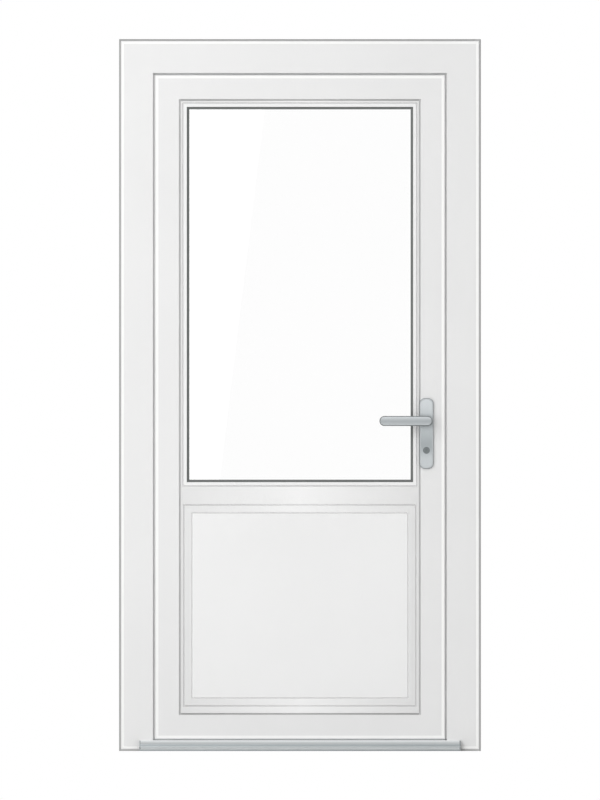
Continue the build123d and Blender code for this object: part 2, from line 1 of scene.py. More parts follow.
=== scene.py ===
"""Looks of a half-glazed white PVC door in its frame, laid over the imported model."""
import math
import bpy
import numpy as np
from bpy.props import FloatProperty, FloatVectorProperty, IntProperty, PointerProperty
from bpy.types import Operator, Panel, PropertyGroup
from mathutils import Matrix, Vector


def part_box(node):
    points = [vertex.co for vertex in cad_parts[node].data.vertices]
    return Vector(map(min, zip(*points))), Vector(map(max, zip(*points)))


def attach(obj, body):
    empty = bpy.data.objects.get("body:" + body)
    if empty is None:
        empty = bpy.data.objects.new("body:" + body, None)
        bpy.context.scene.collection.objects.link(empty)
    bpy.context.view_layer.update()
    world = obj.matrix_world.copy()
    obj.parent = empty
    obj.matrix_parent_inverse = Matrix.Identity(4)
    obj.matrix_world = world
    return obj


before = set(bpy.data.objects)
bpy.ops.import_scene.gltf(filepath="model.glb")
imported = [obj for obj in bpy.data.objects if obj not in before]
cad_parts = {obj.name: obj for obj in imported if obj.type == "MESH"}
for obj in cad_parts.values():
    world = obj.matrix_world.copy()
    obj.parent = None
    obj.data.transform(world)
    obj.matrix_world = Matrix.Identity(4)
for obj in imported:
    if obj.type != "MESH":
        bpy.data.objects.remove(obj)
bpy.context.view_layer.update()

bl_info = {
    "name": "PVC door",
    "version": (1, 0, 0),
    "blender": (4, 5, 0),
    "location": "View3D > Sidebar > PVC door",
    "description": "Finishes, small fasteners and stage of a half-glazed PVC door",
    "category": "Object",
}

# Half widths, heights and depths read from the frame, in metres.
FRAME_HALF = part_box("frame_head")[1][0]
FRAME_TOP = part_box("frame_head")[1][2]
LEAF_HALF = -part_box("leaf_bottom_rail")[0][0]
LEAF_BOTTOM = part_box("leaf_bottom_rail")[0][2]
LEAF_Y0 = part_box("leaf_bottom_rail")[0][1]
LEAF_TOP = FRAME_TOP - FRAME_HALF + LEAF_HALF
LEAF_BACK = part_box("leaf_top_rail")[1][1]
RECESS_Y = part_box("leaf_mid_rail")[0][1]
PANEL_LOW, PANEL_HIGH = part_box("lower_panel")
GLASS_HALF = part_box("glass_pane_outside")[1][0]

# Measures of the finishes, in metres. Pairs are the two ends of a soft change.
EDGE_SPAN = 0.02  # strip along a member's outline that the painted arris tones and painted highlight are laid over
ARRIS_SOFT = 0.03  # softness of the arris' inner end, as a share of that strip
RADIUS_SOFT = 0.04  # softness of the painted highlight's ends, as a share of that strip
LOCK_SIDE_PAINTED_LIGHT = (-0.02, -0.01)  # start of the lock side's painted light on the arris, from the outline
FACE_END = (0.011, 0.013)  # end of the painted arris tones and highlight, behind a member's face
INFILL_START = (0.0015, 0.003)  # start of the recessed level, behind the leaf's face
INFILL_END = (0.045, 0.05)  # its end, behind the leaf's face
INFILL_HALF = 0.363  # half the width of the recessed level, between the stiles
GROOVE_SHADE_START = (0.0004, 0.0048)  # painted shade in a groove, behind the recessed level
GROOVE_SHADE_END = (0.006, 0.007)  # its end, behind the recessed level
GROOVE_SHADE_SOFT = 0.001  # half the softness between upright and level grooves
LEAF_GROOVE = 0.008  # outer end of the leaf's level grooves, from the glass' side
BEAD_GROOVE = -0.001  # the same for the beads
PANEL_GROOVE = -0.004  # the same for the panel
GAP_FACE = (0.001, 0.002)  # start of the gap's painted light and shade, behind the leaf's face
GAP_NEAR = (-0.0005, -0.0001)  # start of the gap, outwards from the leaf's edge
GAP_FAR = (0.0062, 0.0066)  # end of the gap, outwards from the leaf's edge
FIELD_IN = 0.0272  # from the panel's edge to its flat field
FIELD_SOFT = 0.0004  # half the softness of the field's edge
PVC_IOR = 1.54
GLASS_IOR = 1.52
BEVEL_SOFT = 0.15  # half the softness of a bevel's inner end, as a share of its width
FULL_CORNER = 1.0  # a corner radius that half the bar's width limits

SILL_BEVEL = 0.0028  # width of the threshold's end bevels
SILL_CORNER = 0.004  # radius that they follow
SILL_TALL = 0.1  # keeps the bevel off the threshold's top and foot

# Centres of the screws, from the ends and the outer edge of what they hold.
HINGE_SCREW_Z = 0.014
HINGE_SCREW_X = 0.013
HINGE_LEAF_T = 0.0045  # thickness of a hinge half under its screws
LOCK_SCREW_Z = 0.012
PLATE_SCREW_Z = 0.018

# Name, place, width and height of each lamp, and the setting that holds its watts.
LAMPS = (
    ("front_softbox", (-2.5, -6.0, 3.15), (5.5, 5.5), "front"),
    ("low_fill", (-1.5, -5.0, 0.3), (2.0, 0.5), "fill"),
    ("back_softbox", (1.6, 6.0, 3.0), (5.5, 5.5), "back"),
)
LAMP_AIM = (0.0, 0.0, 1.1)
SKY = (0.72, 1.0)  # reflected surround, at the horizon and from SKY_RISE upwards
SKY_RISE = 0.7
FLOOR_HALF = 30.0
FLOOR_Z = -0.0005  # just under the threshold's foot
FLOOR_LEVEL = 0.95  # share of its colour that the floor has near the door
FLOOR_GLOW = (1.2, 3.6)  # where the floor fades into the white surround, from the door
CAMERA_Y = -5
CAMERA_REACH = 100  # far end of its view


def linear(text):
    """sRGB hex to linear RGB: below 0.04045 divided by 12.92, else ((c + 0.055) / 1.055) ** 2.4."""
    c = np.array([int(text[i:i + 2], 16) for i in (1, 3, 5)]) / 255
    return tuple(float(v) for v in np.where(c <= 0.04045, c / 12.92, ((c + 0.055) / 1.055) ** 2.4))


def colour(text, label, words):
    """Colour setting with an sRGB hex default."""
    return FloatVectorProperty(name=label, description=words, subtype="COLOR", size=3, min=0, max=1,
                               default=linear(text))


def length(value, label, words):
    """Length setting in metres."""
    return FloatProperty(name=label, description=words, default=value, min=0, unit="LENGTH")


def watts(value, label, words):
    """Power setting of a lamp."""
    return FloatProperty(name=label, description=words, default=value, min=0, unit="POWER")


def painted_shade_setting(upright, level, label):
    """Setting of how much of its colour PVC keeps under the painted shade in its grooves."""
    return FloatVectorProperty(
        name=label, default=(upright, level), size=2, min=0, max=1,
        description="Share of its colour that PVC keeps in upright and in level grooves")


class DoorColours(PropertyGroup):
    pvc: colour("#E9E9E9", "PVC", "Extruded white PVC of frame and leaf")
    # painted highlight along the radius of frame and leaf, a lighter colour than the PVC
    pvc_painted_highlight: colour("#FBFBFA", "PVC radius", "Polished radius along the outer edges")
    # painted shade on the frame's outermost arris, a grey darker than the PVC
    pvc_arris_painted_shade: colour("#A6A6A6", "PVC arris", "Outermost arris of the frame, dulled by dust")
    # painted light on the lock side's arris, lighter than the painted shade on the other sides
    pvc_arris_painted_light_lock_side: colour("#B4B4B4", "PVC arris, lock side", "The same arris where hands rub the dust off")
    # painted light on the leaf's arris, near white, lighter than the PVC
    leaf_arris_painted_light: colour("#F4F5F5", "Leaf arris", "Arris of the leaf, rubbed clean by its closing")
    # shares of colour kept under the painted shade in bead, leaf and panel grooves
    bead_groove_painted_shade: painted_shade_setting(0.78, 0.76, "Bead grooves")
    leaf_groove_painted_shade: painted_shade_setting(0.87, 0.66, "Leaf grooves")
    panel_groove_painted_shade: painted_shade_setting(1.0, 0.87, "Panel grooves")
    # painted shade in the gap above the leaf and painted light in the side gaps
    head_gap_painted_shade: colour("#DFE0E0", "Head gap", "Dust on the PVC in the gap above the leaf")
    side_gap_painted_light: colour("#F2F2F2", "Sheltered PVC", "PVC in the side gaps, which neither sun nor hands reach")
    bead: colour("#F1F1F1", "Glazing bead", "Clipped-in PVC glazing bead")
    # painted highlight and painted shade of the recessed level, lightest at mid width
    infill_painted_highlight: colour("#F5F5F5", "Infill middle", "Recessed infill level at mid width")
    infill_painted_shade: colour("#E2E2E2", "Infill side", "Recessed infill level beside the stiles")
    panel_field: colour("#F0F0F0", "Panel field", "Flat field of the lower panel")
    gasket: colour("#6D706F", "Gasket", "EPDM glazing gasket")
    seal: colour("#A8AAAB", "Seal", "Grey weather seal")
    # painted bands of highlight and shade up the threshold's height, and painted shade on its end bevels
    sill_painted_lip_highlight: colour("#D8DBDC", "Threshold, upper lip", "Upper lip of the threshold, trodden bright")
    sill_painted_deck_highlight: colour("#E4E6E7", "Threshold, deck", "Top of the threshold, rubbed bright underfoot")
    sill_painted_light: colour("#BABEBF", "Threshold, light", "Light tone of the anodised threshold")
    sill_painted_shade: colour("#989EA0", "Threshold, dark", "Dark tone of the anodised threshold")
    sill_painted_foot_shade: colour("#83888A", "Threshold, foot", "Foot of the threshold, dulled by the floor's dust")
    sill_end_painted_shade: colour("#8F9496", "Threshold, edge", "Cut ends of the threshold")
    # painted highlight and shade bands up the handle plates, and painted shade on their rounded edge
    plate_painted_highlight: colour("#B4B8BA", "Plate, top", "Satin aluminium at the top of a handle plate")
    plate_mid_painted_shading: colour("#A5AAAC", "Plate, middle", "Satin aluminium behind the lever")
    plate_painted_shade: colour("#909597", "Plate, dark", "Satin aluminium between lever and cylinder")
    plate_foot_painted_shading: colour("#ABAFB1", "Plate, foot", "Satin aluminium at the foot of a handle plate")
    plate_edge_painted_shade: colour("#A4A8AA", "Plate, edge", "Rounded edge of the handle plates")
    # painted highlight and shade bands across the levers, and painted shade on their bevel
    lever_painted_highlight: colour("#B3B7B9", "Lever, light", "Upper side of the satin levers")
    lever_painted_shade: colour("#94989A", "Lever, dark", "Darkest tone of the satin levers")
    lever_edge_painted_shade: colour("#808485", "Lever, edge", "Bevelled edge of the levers")
    cylinder: colour("#6C7172", "Cylinder", "Lock cylinder face")
    zinc: colour("#B9BCBD", "Zinc", "Zinc-plated steel of lock parts and screws")
    hinge: colour("#EDEDEB", "Hinge coat", "White powder coat of the hinges")
    spacer: colour("#C9CCCE", "Spacer", "Mill-finish spacer of the glazing unit")
    floor: colour("#F4F4F3", "Floor", "Studio floor")


class DoorSizes(PropertyGroup):
    # the arris width bounds the painted shade on the frame's arris
    arris: length(0.0055, "Arris width", "Width of the frame's dulled arris")
    # the radius ends bound the painted highlight, measured from the edge
    painted_highlight_from: length(0.0086, "Radius start", "Where the polished radius starts, from the edge")
    painted_highlight_to: length(0.0142, "Radius end", "Where the polished radius ends, from the edge")
    # the leaf arris width bounds the painted light on the leaf's arris
    leaf_arris: length(0.0012, "Leaf arris width", "Width of the leaf's arris")
    leaf_painted_highlight_from: length(0.003, "Leaf radius start", "Where the leaf's polished radius starts")
    leaf_painted_highlight_to: length(0.0102, "Leaf radius end", "Where the leaf's polished radius ends")
    # width of the painted shade on the levers' bevel
    lever_edge_painted_shade: length(0.0022, "Lever bevel", "Width of the bevel round the levers")
    # width of the painted shade on the plates' rounded edge
    plate_edge_painted_shade: length(0.004, "Plate bevel", "Width of the rounded edge of the plates")
    screw_r: length(0.0042, "Screw head radius", "Radius of the small pan-head screws")
    screw_h: length(0.0018, "Screw head height", "Height of the small pan-head screws")
    screw_steps: IntProperty(name="Screw steps", description="Steps round a screw head",
                             default=48, min=16, max=128)


class DoorStage(PropertyGroup):
    ambient: FloatProperty(name="Room light", description="Even light from all round", default=0.5, min=0)
    front: watts(214.0, "Front softbox", "Watts of the front softbox")
    fill: watts(12.0, "Low fill", "Watts of the low lamp in front")
    back: watts(215.0, "Back softbox", "Watts of the back softbox")
    view_height: length(2.4192, "View height", "Height of the camera's view")
    aim_z: length(1.0614, "View middle", "Height of the middle of the view")


def add(tree, kind, links=None, **settings):
    """Adds a node, sets its properties, and fills its inputs with values or links from sockets."""
    made = tree.nodes.new(kind)
    for key, value in settings.items():
        setattr(made, key, value)
    for key, value in (links or {}).items():
        socket = made.inputs[key]
        if isinstance(value, bpy.types.NodeSocket):
            tree.links.new(value, socket)
        else:
            if socket.type == "RGBA" and len(value) == 3:
                value = (*value, 1.0)
            socket.default_value = value
    return made


def calc(tree, operation, *values):
    """Result of one operation on one or two values."""
    return add(tree, "ShaderNodeMath", dict(enumerate(values)), operation=operation).outputs[0]


def remap(tree, value, source=(0.0, 1.0), target=(0.0, 1.0), **settings):
    """Value carried from one range to another and held within it."""
    return add(tree, "ShaderNodeMapRange", {"Value": value, "From Min": source[0], "From Max": source[1],
                                            "To Min": target[0], "To Max": target[1]}, **settings).outputs[0]


def past(at, ends):
    """Both ends of a soft change, measured from a place."""
    return at + ends[0], at + ends[1]


def window(tree, value, rise, fall):
    """0 that turns to 1 over the range rise and back to 0 over the range fall."""
    return calc(tree, "MULTIPLY", remap(tree, value, rise), remap(tree, value, fall, (1.0, 0.0)))


def blend(tree, factor, first, second, kind="RGBA"):
    """The first colour or value where the factor is 0, the second where it is 1."""
    return add(tree, "ShaderNodeMix", {"Factor": factor, "A": first, "B": second},
               data_type=kind).outputs["Result"]


def scaled(tree, tone, share):
    """Tone times a share."""
    return add(tree, "ShaderNodeVectorMath", {0: tone, "Scale": share}, operation="SCALE").outputs[0]


def noise(tree, vector, scale, detail=2.0):
    """Noise of so many cells a metre, from 0 to 1."""
    return add(tree, "ShaderNodeTexNoise", {"Vector": vector, "Scale": scale, "Detail": detail}).outputs[0]


def across(tree, axes):
    """Distance from the door's upright middle plane."""
    return calc(tree, "ABSOLUTE", axes[0])


def inward(tree, axes, half, low, high):
    """Distance inwards from the outline of a rectangle, half wide and low to high tall."""
    side = calc(tree, "SUBTRACT", half, across(tree, axes))
    ends = calc(tree, "MINIMUM", calc(tree, "SUBTRACT", high, axes[2]), calc(tree, "SUBTRACT", axes[2], low))
    return calc(tree, "MINIMUM", side, ends)


def start(name):
    """New node material with its Principled shader, its object coordinates and their x, y and z."""
    made = bpy.data.materials.new(name)
    made.use_nodes = True
    tree = made.node_tree
    tree.nodes.clear()
    place = add(tree, "ShaderNodeTexCoord").outputs["Object"]
    shader = add(tree, "ShaderNodeBsdfPrincipled")
    add(tree, "ShaderNodeOutputMaterial", {"Surface": shader.outputs[0]})
    axes = add(tree, "ShaderNodeSeparateXYZ", {0: place})
    return made, tree, place, shader, axes.outputs


def stops(ramp, values, interpolation="LINEAR"):
    """Fills a colour ramp with (position, colour) pairs."""
    ramp.color_ramp.interpolation = interpolation
    band = ramp.color_ramp.elements
    while len(band) > 1:
        band.remove(band[-1])
    band[0].position = values[0][0]
    band[0].color = (*values[0][1], 1.0)
    for at, tone in values[1:]:
        band.new(at).color = (*tone, 1.0)


def finish(tree, shader, tone, relief, rough, strength, depth):
    """Gives a shader its tone, and lets one noise set its roughness and its relief, depth metres deep."""
    tree.links.new(tone, shader.inputs["Base Color"])
    tree.links.new(remap(tree, relief, target=rough), shader.inputs["Roughness"])
    bump = add(tree, "ShaderNodeBump", {"Height": relief, "Strength": strength, "Distance": depth})
    tree.links.new(bump.outputs[0], shader.inputs["Normal"])


def dress(made, *nodes):
    """Puts one material on CAD nodes, in every slot they have."""
    for name in nodes:
        obj = bpy.data.objects[name]
        if not obj.material_slots:
            obj.data.materials.append(made)
        for s in obj.material_slots:
            s.material = made


def surface(name, points, wrap_u=False, wrap_v=False):
    """Mesh from a grid of points, shape (u, v, 3), quads between neighbours."""
    nu, nv = points.shape[:2]
    u = np.arange(nu if wrap_u else nu - 1)
    v = np.arange(nv if wrap_v else nv - 1)
    a, b = np.meshgrid(u, v, indexing="ij")
    quads = np.stack([a * nv + b, ((a + 1) % nu) * nv + b, ((a + 1) % nu) * nv + (b + 1) % nv,
                      a * nv + (b + 1) % nv], axis=-1).reshape(-1, 4)
    mesh = bpy.data.meshes.new(name)
    mesh.from_pydata(points.reshape(-1, 3), [], quads.tolist())
    mesh.validate()
    obj = bpy.data.objects.new(name, mesh)
    bpy.context.scene.collection.objects.link(obj)
    return obj


def pvc_tones(tree, axes, flat, edge, arrises, reach, half, low, high, face_y):
    """Colour of an extruded PVC member: a painted arris tone and a painted highlight on its radius follow
    its outer outline.

    The outline is half wide and low to high tall. arrises holds the painted arris tone of most sides and
    then that of the lock side; reach gives the arris' width and the two ends of the painted highlight.
    """
    part = calc(tree, "MULTIPLY", inward(tree, axes, half, low, high), 1 / EDGE_SPAN)
    a, f, t = (r / EDGE_SPAN for r in reach)
    rims = []
    for arris in arrises:
        ramp = add(tree, "ShaderNodeValToRGB", {0: part})
        stops(ramp, [(0, arris), (a - ARRIS_SOFT, arris), (a + ARRIS_SOFT, flat), (f - RADIUS_SOFT, flat),
                     (f + RADIUS_SOFT, edge), (t - RADIUS_SOFT, edge), (t + RADIUS_SOFT, flat)])
        rims.append(ramp.outputs[0])
    rim = blend(tree, remap(tree, axes[0], past(half, LOCK_SIDE_PAINTED_LIGHT)), *rims)
    return blend(tree, remap(tree, axes[1], past(face_y, FACE_END), (1.0, 0.0)), flat, rim)


def pvc_surface(tree, place, shader, tone):
    """Satin PVC: a faint drift of its tone over half a metre, and a 3 mm orange peel."""
    shader.inputs["IOR"].default_value = PVC_IOR
    drift = remap(tree, noise(tree, place, 2.2, 3.0), (0.3, 0.7), (0.985, 1.015))
    finish(tree, shader, scaled(tree, tone, drift), noise(tree, place, 330.0), (0.3, 0.42), 0.15, 0.0001)


def infill(tree, axes, c):
    """Tone of the recessed level: a painted highlight at mid width, falling evenly to painted shade at both
    stiles.
    """
    part = calc(tree, "MULTIPLY", across(tree, axes), 1 / INFILL_HALF)
    return blend(tree, part, c.infill_painted_highlight[:], c.infill_painted_shade[:])


def painted_groove_shade(tree, axes, kept, half, tone):
    """Tone darkened by painted shade from 0.4 mm below the recessed level down to a groove's floor.

    kept is for upright and for level grooves; level ones lie within half of the middle.
    """
    there = window(tree, axes[1], past(RECESS_Y, GROOVE_SHADE_START), past(RECESS_Y, GROOVE_SHADE_END))
    least = remap(tree, across(tree, axes), (half - GROOVE_SHADE_SOFT, half + GROOVE_SHADE_SOFT), (kept[1], kept[0]))
    return scaled(tree, tone, remap(tree, there, target=(1.0, least)))


def gap_painted_light_and_shade(tree, axes, c, tone):
    """Tone in the gap round the leaf, from 1 mm behind its face: painted light at the sides, painted shade
    above.
    """
    deep = remap(tree, axes[1], past(LEAF_Y0, GAP_FACE))
    sides = (across(tree, axes), LEAF_HALF, c.side_gap_painted_light), (axes[2], LEAF_TOP, c.head_gap_painted_shade)
    for value, edge, found in sides:
        gap = window(tree, value, past(edge, GAP_NEAR), past(edge, GAP_FAR))
        tone = blend(tree, calc(tree, "MULTIPLY", gap, deep), tone, found[:])
    return tone


class DOOR_OT_frame(Operator):
    """Frame members: white extruded PVC, satin, with a painted highlight along the radius and painted shade
    on the outer arris
    """
    bl_idname = "pvcdoor.frame"
    bl_label = "Frame"

    def execute(self, context):
        # unplasticised PVC, drawn through a die: soft gloss with a faint orange peel
        c, s = context.scene.door_colours, context.scene.door_sizes
        made, tree, place, shader, axes = start("extruded_white_pvc_frame")
        tone = pvc_tones(tree, axes, c.pvc[:], c.pvc_painted_highlight[:], (c.pvc_arris_painted_shade[:], c.pvc_arris_painted_light_lock_side[:]),
                         (s.arris, s.painted_highlight_from, s.painted_highlight_to), FRAME_HALF, 0.0, FRAME_TOP, 0.0)
        # painted light and shade in the gap round the leaf
        pvc_surface(tree, place, shader, gap_painted_light_and_shade(tree, axes, c, tone))
        dress(made, "frame_jamb_hinge_side", "frame_jamb_lock_side", "frame_head")
        return {"FINISHED"}


class DOOR_OT_leaf(Operator):
    """Leaf members: the same PVC, with painted light on the arris and a painted highlight along the leaf's
    own outline, and the glazing beads
    """
    bl_idname = "pvcdoor.leaf"
    bl_label = "Leaf"

    def execute(self, context):
        # the same PVC; the recessed level behind its step has a painted highlight at mid width and painted
        # shade towards the stiles
        c, s = context.scene.door_colours, context.scene.door_sizes
        made, tree, place, shader, axes = start("extruded_white_pvc_leaf")
        tone = pvc_tones(tree, axes, c.pvc[:], c.pvc_painted_highlight[:], (c.leaf_arris_painted_light[:], c.pvc_painted_highlight[:]),
                         (s.leaf_arris, s.leaf_painted_highlight_from, s.leaf_painted_highlight_to),
                         LEAF_HALF, LEAF_BOTTOM, LEAF_TOP, LEAF_Y0)
        recess = window(tree, axes[1], past(LEAF_Y0, INFILL_START), past(LEAF_Y0, INFILL_END))
        tone = gap_painted_light_and_shade(tree, axes, c, blend(tree, recess, tone, infill(tree, axes, c)))
        # painted shade darkens the leaf's grooves
        pvc_surface(tree, place, shader, painted_groove_shade(tree, axes, c.leaf_groove_painted_shade, GLASS_HALF + LEAF_GROOVE, tone))
        dress(made, "leaf_stile_hinge_side", "leaf_stile_lock_side", "leaf_top_rail", "leaf_mid_rail",
              "leaf_bottom_rail")

        # PVC from another die, a little whiter; the beads' groove gets painted shade
        made, tree, place, shader, axes = start("white_pvc_glazing_bead")
        tone = painted_groove_shade(tree, axes, c.bead_groove_painted_shade, GLASS_HALF + BEAD_GROOVE, c.bead[:])
        pvc_surface(tree, place, shader, tone)
        dress(made, "glazing_bead_left", "glazing_bead_right", "glazing_bead_top", "glazing_bead_bottom")
        return {"FINISHED"}


class DOOR_OT_panel(Operator):
    """Lower panel: PVC skin pressed with a groove, a sloping band and a flat field"""
    bl_idname = "pvcdoor.panel"
    bl_label = "Lower panel"

    def execute(self, context):
        # thermoformed PVC skin, as satin as the extrusions
        c = context.scene.door_colours
        made, tree, place, shader, axes = start("pressed_white_pvc_skin")
        near = inward(tree, axes, PANEL_HIGH[0] - FIELD_IN, PANEL_LOW[2] + FIELD_IN,
                      PANEL_HIGH[2] - FIELD_IN)
        field = remap(tree, near, (-FIELD_SOFT, FIELD_SOFT))
        # the panel's band round its field takes the recessed level's painted highlight and shade
        tone = blend(tree, field, infill(tree, axes, c), c.panel_field[:])
        # painted shade darkens the panel's grooves
        pvc_surface(tree, place, shader,
                    painted_groove_shade(tree, axes, c.panel_groove_painted_shade, GLASS_HALF + PANEL_GROOVE, tone))
        dress(made, "lower_panel")
        return {"FINISHED"}


class DOOR_OT_glazing(Operator):
    """Glazing: clear float glass, gaskets, seals and an aluminium spacer"""
    bl_idname = "pvcdoor.glazing"
    bl_label = "Glazing"

    def execute(self, context):
        # float glass: clear, with a trace of unevenness in its polish
        c = context.scene.door_colours
        made, tree, place, shader, axes = start("clear_float_glass")
        shader.inputs["IOR"].default_value = GLASS_IOR
        shader.inputs["Transmission Weight"].default_value = 1.0
        wave = noise(tree, place, 3.0, 1.0)
        tree.links.new(remap(tree, wave, target=(0.0, 0.01)), shader.inputs["Roughness"])
        tint = remap(tree, wave, target=(0.995, 1.0))
        white = add(tree, "ShaderNodeCombineColor", {0: tint, 1: tint, 2: tint})
        tree.links.new(white.outputs[0], shader.inputs["Base Color"])
        dress(made, "glass_pane_outside", "glass_pane_inside")

        # EPDM and thermoplastic rubber: matt, mottled at 2 mm, with a dusting that lightens them a little
        mottled("epdm_glazing_gasket", c.gasket[:], 500.0, 3.0, (0.85, 1.2), (0.6, 0.8),
                "glazing_gasket_outside", "glazing_gasket_inside")
        mottled("grey_weather_seal", c.seal[:], 500.0, 3.0, (0.85, 1.2), (0.6, 0.8),
                "frame_seal_hinge_side", "frame_seal_lock_side", "frame_seal_head", "leaf_bottom_seal")

        # aluminium as it leaves the mill
        metal("mill_finish_spacer", c.spacer[:], 0.35, (1, 1, 1), "glazing_spacer")
        return {"FINISHED"}


def mottled(name, tone, scale, detail, shade, rough, *nodes):
    """Rubber or paint: one noise mottles its tone within shade, its roughness and its relief."""
    made, tree, place, shader, axes = start(name)
    grain = noise(tree, place, scale, detail)
    finish(tree, shader, scaled(tree, tone, remap(tree, grain, target=shade)), grain, rough, 0.2, 0.0001)
    dress(made, *nodes)


def brushed(tree, place, shader, tone, shade, rough, spread, grain):
    """Bare metal with a 1.7 mm grain, drawn out to brushing along an axis where grain is below 1."""
    shader.inputs["Metallic"].default_value = 1.0
    drawn = add(tree, "ShaderNodeMapping", {"Vector": place, "Scale": grain}).outputs[0]
    brush = noise(tree, drawn, 600.0, 3.0)
    finish(tree, shader, scaled(tree, tone, remap(tree, brush, target=shade)), brush,
           (rough - spread, rough + spread), 0.1, 0.00005)


def metal(name, tone, rough, grain, *nodes):
    """Bare metal of one tone."""
    made, tree, place, shader, axes = start(name)
    brushed(tree, place, shader, tone, (0.94, 1.06), rough, 0.06, grain)
    dress(made, *nodes)
    return made


def rounded_edge(tree, axes, low, high, width, corner):
    """1 on the bevel of a bar between low and high in x and z whose corners are rounded, 0 inside it.

    The bar is every point within the corner radius of a smaller rectangle, so the distance from that
    rectangle, less the radius, is the distance from the edge.
    """
    middle = [(a + b) / 2 for a, b in zip(low, high)]
    half = [(b - a) / 2 for a, b in zip(low, high)]
    r = min(half[0], half[2], corner)
    legs = []
    for i in (0, 2):
        off = calc(tree, "ABSOLUTE", calc(tree, "SUBTRACT", axes[i], middle[i]))
        legs.append(calc(tree, "MAXIMUM", calc(tree, "SUBTRACT", off, half[i] - r), 0.0))
    reach = add(tree, "ShaderNodeCombineXYZ", {0: legs[0], 1: legs[1]})
    away = add(tree, "ShaderNodeVectorMath", {0: reach.outputs[0]}, operation="LENGTH")
    return remap(tree, away.outputs["Value"],
                 (r - width * (1 + BEVEL_SOFT), r - width * (1 - BEVEL_SOFT)))


def painted_band_metal(name, box, tones, edge, width, corner, rough, grain, *nodes, tall=0.0):
    """Satin metal with bands of painted highlight and shade that follow its height through its box, and
    painted shade on a bevel round it.

    The bevel is width wide and follows corners of the given radius; tall keeps it off the top and foot.
    """
    made, tree, place, shader, axes = start(name)
    low, high = box
    ramp = add(tree, "ShaderNodeValToRGB", {0: remap(tree, axes[2], (low[2], high[2]))})
    stops(ramp, tones, "EASE")
    rim = rounded_edge(tree, axes, (low[0], low[1], low[2] - tall), (high[0], high[1], high[2] + tall),
                       width, corner)
    brushed(tree, place, shader, blend(tree, rim, ramp.outputs[0], edge), (0.96, 1.04), rough, 0.05, grain)
    dress(made, *nodes)


class DOOR_OT_threshold(Operator):
    """Threshold: anodised aluminium extrusion, drawn along the door's width"""
    bl_idname = "pvcdoor.threshold"
    bl_label = "Threshold"

    def execute(self, context):
        # silver anodised aluminium: satin, its draw lines along X; bands of painted highlight and shade
        # follow its height and painted shade lies on its end bevels
        c = context.scene.door_colours
        tones = ((0.0, c.sill_painted_foot_shade), (0.1, c.sill_painted_foot_shade), (0.22, c.sill_painted_lip_highlight), (0.3, c.sill_painted_lip_highlight),
                 (0.38, c.sill_painted_light), (0.46, c.sill_painted_shade), (0.58, c.sill_painted_shade), (0.74, c.sill_painted_light),
                 (0.95, c.sill_painted_lip_highlight), (1.0, c.sill_painted_deck_highlight))
        painted_band_metal("silver_anodised_aluminium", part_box("threshold"), tones, c.sill_end_painted_shade[:], SILL_BEVEL,
                     SILL_CORNER, 0.4, (0.01, 1, 1), "threshold", tall=SILL_TALL)
        return {"FINISHED"}


class DOOR_OT_handle(Operator):
    """Handle set: satin aluminium plates and levers, dark cylinder face, lock parts"""
    bl_idname = "pvcdoor.handle"
    bl_label = "Handle set"

    def execute(self, context):
        # die-cast aluminium, brushed upright on the plates and lengthwise on the levers, lacquered satin;
        # bands of painted highlight and shade follow the height of plates and levers, with painted shade on
        # their bevels
        c, s = context.scene.door_colours, context.scene.door_sizes
        tones = ((0.0, c.plate_foot_painted_shading), (0.12, c.plate_foot_painted_shading), (0.33, c.plate_painted_shade), (0.6, c.plate_mid_painted_shading),
                 (1.0, c.plate_painted_highlight))
        painted_band_metal("satin_aluminium_plate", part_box("handle_plate_outside"), tones, c.plate_edge_painted_shade[:],
                     s.plate_edge_painted_shade, FULL_CORNER, 0.38, (1, 1, 0.02),
                     "handle_plate_outside", "handle_plate_inside")
        # light, dark and their mean are the levers' painted highlight, painted shade and the painted tone
        # between them
        light, dark = c.lever_painted_highlight[:], c.lever_painted_shade[:]
        mid = tuple((a + b) / 2 for a, b in zip(light, dark))
        painted_band_metal("satin_aluminium_lever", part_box("lever_outside"),
                     ((0.0, mid), (0.45, dark), (1.0, light)), c.lever_edge_painted_shade[:], s.lever_edge_painted_shade, FULL_CORNER,
                     0.34, (0.02, 1, 1), "lever_outside", "lever_inside")
        # nickel-plated brass, dark satin
        metal("dark_satin_nickel", c.cylinder[:], 0.4, (1, 1, 1), "lock_cylinder")
        # bright zinc plate on steel
        metal("zinc_plated_steel", c.zinc[:], 0.35, (1, 1, 0.05), "handle_spindle", "lock_faceplate",
              "latch_bolt", "dead_bolt", "strike_plate")
        return {"FINISHED"}


class DOOR_OT_hinges(Operator):
    """Hinges: steel under a white powder coat with its fine orange peel"""
    bl_idname = "pvcdoor.hinges"
    bl_label = "Hinges"

    def execute(self, context):
        # polyester powder coat: half gloss, 1 mm orange peel
        mottled("white_powder_coat", context.scene.door_colours.hinge[:], 900.0, 2.0, (0.96, 1.04),
                (0.35, 0.5), *(f"hinge_{where}_{half}_half" for where in ("bottom", "middle", "top")
                               for half in ("frame", "leaf")))
        return {"FINISHED"}


